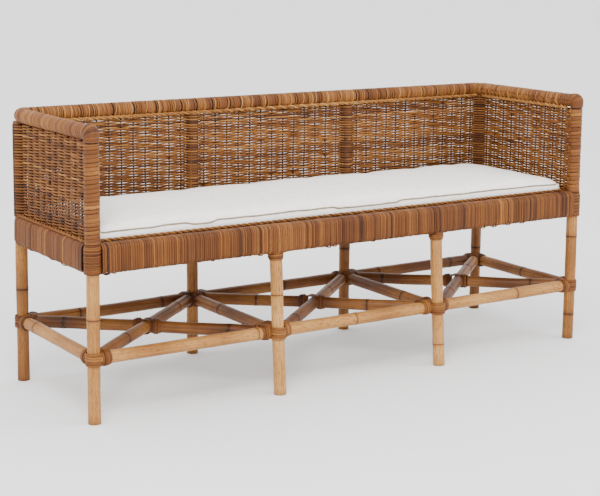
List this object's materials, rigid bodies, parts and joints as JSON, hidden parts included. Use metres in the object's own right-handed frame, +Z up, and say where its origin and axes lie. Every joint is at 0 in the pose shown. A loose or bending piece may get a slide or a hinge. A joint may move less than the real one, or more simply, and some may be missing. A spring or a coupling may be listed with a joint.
{
  "type": "daybed",
  "caption": "Long, low rattan daybed: braced pole legs, wrapped seat band, woven back and arms under a wrapped rail, and a loose pale seat pad.",
  "frame": {"origin": "middle of the whole daybed's box, on the floor", "axes": "+X along the length to the sitter's left seen from the front (picture right), front faces -Y, +Z up"},
  "size_m": [1.6, 0.505, 0.732],
  "materials": {
    "rattan_pole": "satin, fine lengthwise grain with growth rings",
    "rattan_peel": "satin, wound strips that differ in tone",
    "binding_peel": "satin, narrow wound strips",
    "woven_rattan": "woven round strands, low sheen",
    "seat_frame_core": "matt, hidden under the wrap",
    "cushion_canvas": "matt plain-weave cotton canvas"
  },
  "bodies": {
    "frame": {"front_left_post": "rattan_pole", "front_right_post": "rattan_pole", "back_left_post": "rattan_pole", "back_right_post": "rattan_pole", "front_mid_left_leg": "rattan_pole", "front_mid_right_leg": "rattan_pole", "back_mid_left_post": "rattan_pole", "back_mid_right_post": "rattan_pole", "front_stretcher": "rattan_pole", "back_left_stretcher": "rattan_pole", "back_middle_stretcher": "rattan_pole", "back_right_stretcher": "rattan_pole", "left_side_stretcher": "rattan_pole", "right_side_stretcher": "rattan_pole", "left_cross_stretcher": "rattan_pole", "right_cross_stretcher": "rattan_pole", "left_through_brace": "rattan_pole", "middle_through_brace": "rattan_pole", "right_through_brace": "rattan_pole", "left_back_half_brace": "rattan_pole", "left_front_half_brace": "rattan_pole", "middle_back_half_brace": "rattan_pole", "middle_front_half_brace": "rattan_pole", "right_back_half_brace": "rattan_pole", "right_front_half_brace": "rattan_pole", "front_left_binding": "binding_peel", "front_right_binding": "binding_peel", "back_left_binding": "binding_peel", "back_right_binding": "binding_peel", "front_mid_left_binding": "binding_peel", "front_mid_right_binding": "binding_peel", "back_mid_left_binding": "binding_peel", "back_mid_right_binding": "binding_peel", "left_crossing_binding": "binding_peel", "middle_crossing_binding": "binding_peel", "right_crossing_binding": "binding_peel", "front_seat_rail": "seat_frame_core", "back_left_seat_rail": "seat_frame_core", "back_middle_seat_rail": "seat_frame_core", "back_right_seat_rail": "seat_frame_core", "left_seat_rail": "seat_frame_core", "right_seat_rail": "seat_frame_core", "front_seat_band": "rattan_peel", "back_seat_band": "rattan_peel", "left_seat_band": "rattan_peel", "right_seat_band": "rattan_peel", "seat_bearer": "rattan_pole", "woven_seat_deck": "woven_rattan", "left_arm_rail": "rattan_pole", "right_arm_rail": "rattan_pole", "back_rail": "rattan_pole", "left_arm_rail_wrap": "rattan_peel", "right_arm_rail_wrap": "rattan_peel", "back_rail_wrap": "rattan_peel", "front_left_post_wrap": "rattan_peel", "front_right_post_wrap": "rattan_peel", "back_woven_panel": "woven_rattan", "left_woven_panel": "woven_rattan", "right_woven_panel": "woven_rattan"},
    "cushion": {"seat_cushion": "cushion_canvas"}
  },
  "joints": [
    {"name": "cushion_lift", "type": "slide", "parent": "frame", "child": "cushion", "axis": [0, 0, 1], "range_m": [0, 0.32]}
  ]
}
